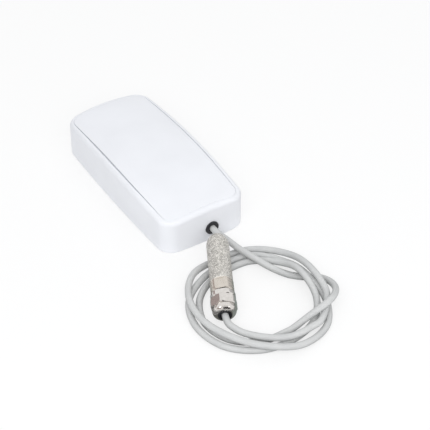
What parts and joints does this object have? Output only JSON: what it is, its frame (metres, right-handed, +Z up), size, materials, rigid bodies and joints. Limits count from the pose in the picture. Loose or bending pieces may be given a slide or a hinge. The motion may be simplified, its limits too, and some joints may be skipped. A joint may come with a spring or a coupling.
{
  "type": "temperature humidity sensor",
  "caption": "White wall box with a crowned panel, and a sintered filter probe with a cable gland on a coiled grey cable, for measuring air temperature and humidity.",
  "frame": {"origin": "middle of the box's bottom face, on the surface that it stands on", "axes": "+Z up out of the front panel, +Y along the box away from the cable, +X across the box to the right as seen from the cable end"},
  "size_m": [0.0875, 0.2305, 0.029],
  "materials": {
    "white_plastic": "fine satin moulded shell",
    "panel_plastic": "fine satin moulded panel",
    "base_plastic": "satin moulded base",
    "black_rubber": "soft matte rubber",
    "black_plastic": "matte moulded plastic",
    "pale_plastic": "natural nylon",
    "screw_steel": "zinc plated",
    "contact_metal": "nickel plated spring metal",
    "tin_shield": "tinned shield can",
    "board_laminate": "green solder mask",
    "led_lens": "clear moulded lens",
    "cell_wrap": "glossy shrink sleeve",
    "wire_insulation": "coloured wire insulation",
    "cable_jacket": "light grey satin jacket",
    "nickel_plate": "bright nickel plated brass",
    "filter_steel": "turned stainless steel",
    "sintered_metal": "grainy sintered metal, matte"
  },
  "bodies": {
    "box": {"housing": "white_plastic", "base_plate": "base_plastic", "base_seal": "black_rubber", "housing_screws": "screw_steel", "main_board": "board_laminate", "board_screws": "screw_steel", "radio_module": "tin_shield", "antenna": "pale_plastic", "main_chip": "black_plastic", "status_led": "led_lens", "button_body": "black_plastic", "battery_holder": "black_plastic", "battery_cell_left": "cell_wrap", "battery_cell_right": "cell_wrap", "battery_springs": "contact_metal", "battery_contacts": "contact_metal", "board_socket": "pale_plastic", "cable_plug": "pale_plastic", "lead_wires": "wire_insulation", "cable_tie": "black_plastic", "cable_grommet": "black_rubber", "cable": "cable_jacket", "gland_seal": "black_rubber", "gland_body": "nickel_plate", "sensor_board": "board_laminate", "sensor_chip": "black_plastic"},
    "panel": {"front_panel": "panel_plastic"},
    "button": {"button_plunger": "pale_plastic"},
    "clamp": {"gland_claw": "black_plastic"},
    "nut": {"gland_nut": "nickel_plate"},
    "o_ring": {"probe_o_ring": "black_rubber"},
    "filter": {"filter_base": "filter_steel", "filter_shell": "sintered_metal"}
  },
  "joints": [
    {"name": "panel_lift", "type": "slide", "parent": "box", "child": "panel", "axis": [0, 0, 1], "range_m": [0, 0.03]},
    {"name": "button_press", "type": "slide", "parent": "box", "child": "button", "axis": [0, 0, -1], "range_m": [0, 0.00025], "stiffness_N_per_m": 2000},
    {"name": "clamp_travel", "type": "slide", "parent": "box", "child": "clamp", "axis": [-0.4675, -0.8793, -0.0906], "range_m": [0, 0.003]},
    {"name": "nut_turn", "type": "hinge", "parent": "clamp", "child": "nut", "pos_m": [-0.0285, -0.126, 0.0075], "axis": [-0.4675, -0.8793, -0.0906], "range_deg": [0, 720]},
    {"name": "o_ring_travel", "type": "slide", "parent": "box", "child": "o_ring", "axis": [0.4675, 0.8793, 0.0906], "range_m": [0, 0.002]},
    {"name": "filter_turn", "type": "hinge", "parent": "o_ring", "child": "filter", "pos_m": [-0.0285, -0.126, 0.0075], "axis": [0.4675, 0.8793, 0.0906], "range_deg": [0, 720]}
  ],
  "couplings": [
    {"joint": "nut_turn", "follows": "clamp_travel", "rad_per_m": 4188.8},
    {"joint": "filter_turn", "follows": "o_ring_travel", "rad_per_m": 6283.2}
  ]
}
